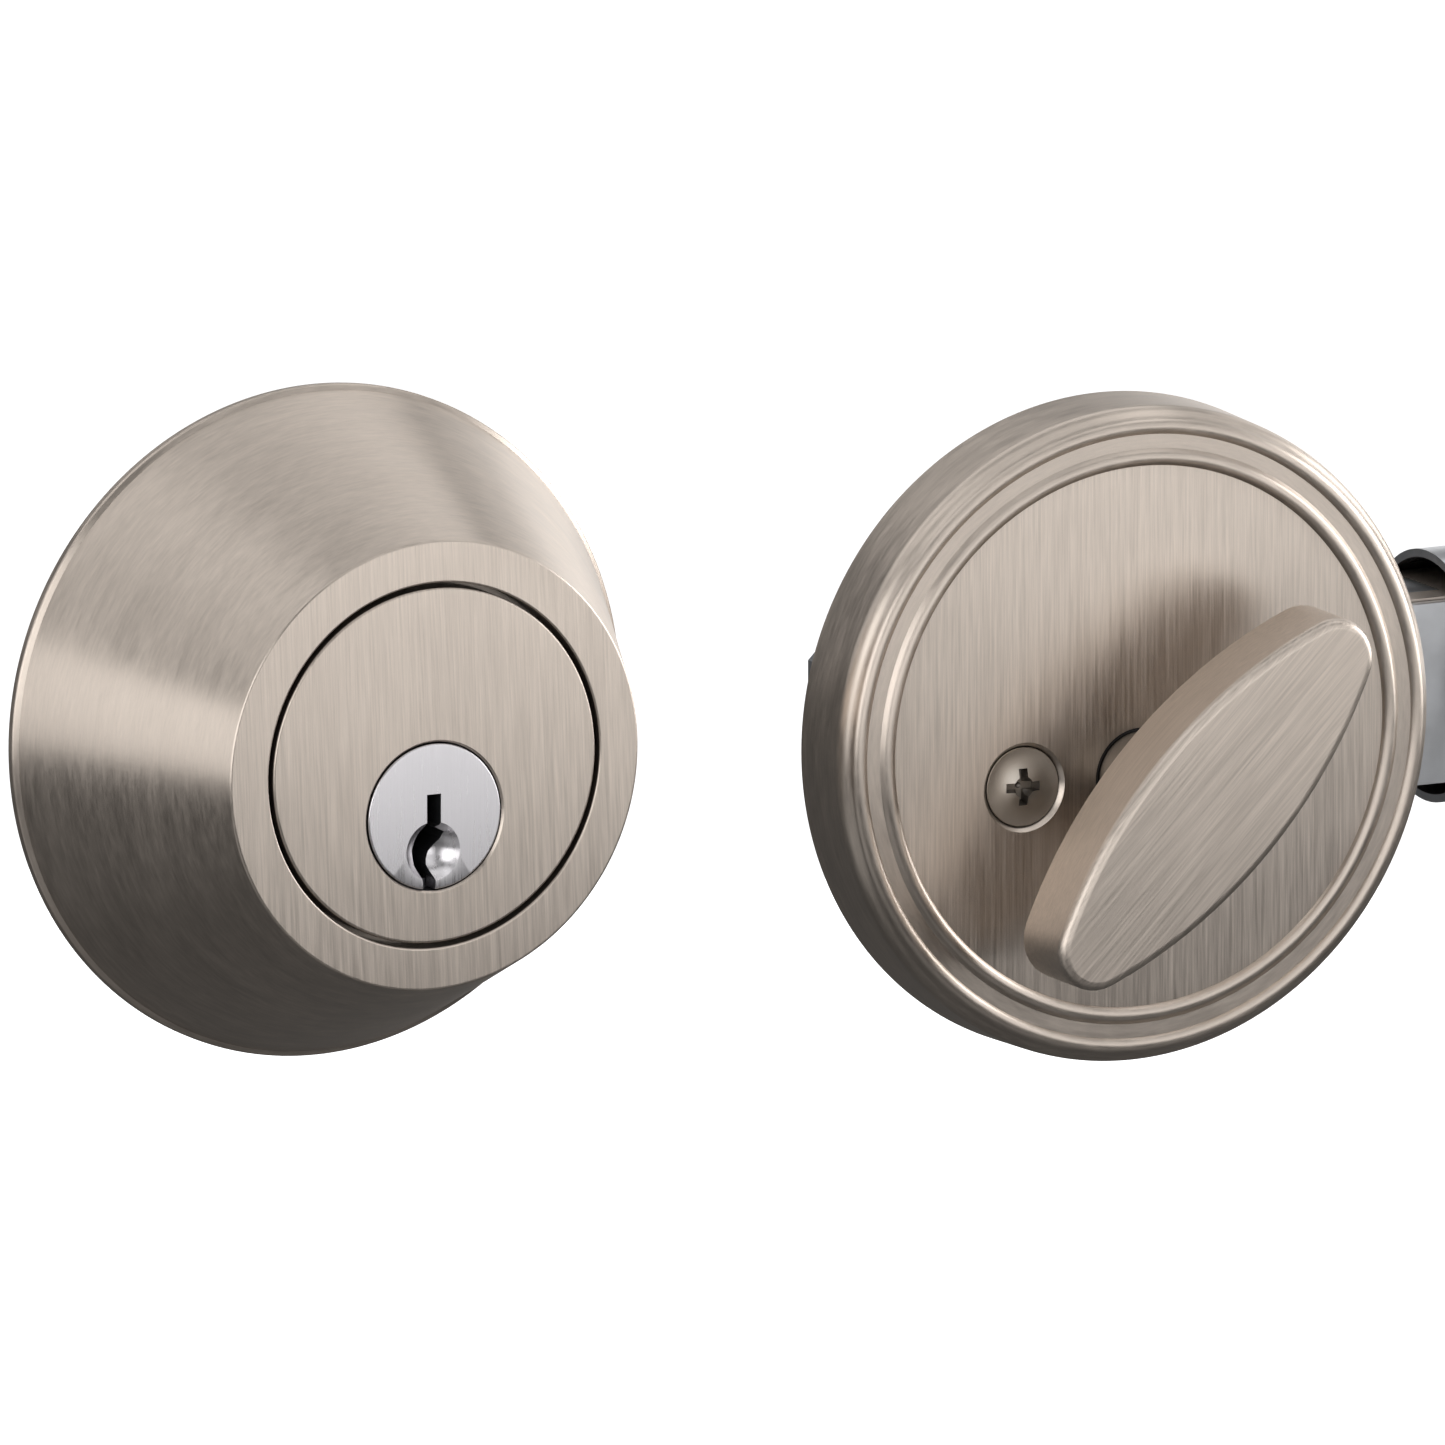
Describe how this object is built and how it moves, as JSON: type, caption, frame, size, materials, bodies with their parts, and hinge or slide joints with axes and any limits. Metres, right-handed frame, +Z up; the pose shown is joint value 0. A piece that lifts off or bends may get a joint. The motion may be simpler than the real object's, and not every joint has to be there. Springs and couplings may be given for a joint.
{
  "type": "deadbolt door lock",
  "caption": "Deadbolt with a tapered key cylinder half, a round beaded rose with an oval thumbturn, and a tubular throw bolt unit, all working.",
  "frame": {"origin": "on the thumbturn's axis, in the plane of the door face that both halves sit on", "axes": "+X towards the bolt's throw, +Y into the door, +Z up"},
  "size_m": [0.2013, 0.0698, 0.0738],
  "materials": {
    "satin_nickel": "brushed satin nickel plate",
    "plug_nickel": "fine satin nickel",
    "cast_zinc": "as-cast zinc, satin",
    "zinc_plated_steel": "bright zinc plate",
    "hardened_steel": "dark hardened steel",
    "turned_brass": "turned brass",
    "spring_steel": "drawn spring wire",
    "nylon": "moulded nylon"
  },
  "bodies": {
    "door_set": {"security_liner": "hardened_steel", "cylinder_housing": "satin_nickel", "driver_pins": "turned_brass", "pin_springs": "spring_steel", "pin_cover": "turned_brass", "drill_pins": "hardened_steel", "interior_rose": "satin_nickel", "mounting_plate": "zinc_plated_steel", "thumbturn_bushing": "nylon", "wave_washer": "spring_steel", "mounting_screws": "satin_nickel", "case_plate_near": "zinc_plated_steel", "case_plate_far": "zinc_plated_steel", "case_rivets": "hardened_steel", "bolt_sleeve": "zinc_plated_steel", "inner_plate": "zinc_plated_steel", "faceplate": "satin_nickel", "faceplate_screws": "satin_nickel"},
    "thumbturn_set": {"thumbturn": "satin_nickel", "retaining_clip": "spring_steel", "torque_blade": "zinc_plated_steel", "crank": "cast_zinc"},
    "bolt_set": {"bolt": "satin_nickel", "roller_plug": "zinc_plated_steel", "tail_bar": "zinc_plated_steel", "tail_rivet": "hardened_steel", "tail_pin": "hardened_steel"},
    "roller": {"bolt_roller": "hardened_steel"},
    "plug_set": {"key_plug": "plug_nickel", "key_pins": "turned_brass", "plug_cap": "turned_brass", "cap_pin": "hardened_steel", "driver_cam": "cast_zinc"},
    "collar": {"cylinder_collar": "satin_nickel"}
  },
  "joints": [
    {"name": "thumbturn_turn", "type": "hinge", "parent": "door_set", "child": "thumbturn_set", "pos_m": [0, 0, 0], "axis": [0, 1, 0], "range_deg": [-45, 45]},
    {"name": "bolt_slide", "type": "slide", "parent": "door_set", "child": "bolt_set", "axis": [1, 0, 0], "range_m": [-0.01271, 0.01271]},
    {"name": "roller_spin", "type": "hinge", "parent": "bolt_set", "child": "roller", "pos_m": [0.05, 0.02223, 0], "axis": [1, 0, 0], "continuous": true},
    {"name": "plug_turn", "type": "hinge", "parent": "door_set", "child": "plug_set", "pos_m": [-0.0858, 0, 0.0071], "axis": [0, 1, 0], "range_deg": [-90, 90]},
    {"name": "collar_spin", "type": "hinge", "parent": "door_set", "child": "collar", "pos_m": [-0.0858, 0, 0.0121], "axis": [0, 1, 0], "continuous": true}
  ],
  "couplings": [
    {"joint": "bolt_slide", "follows": "thumbturn_turn", "m_per_rad": 0.01617}
  ]
}
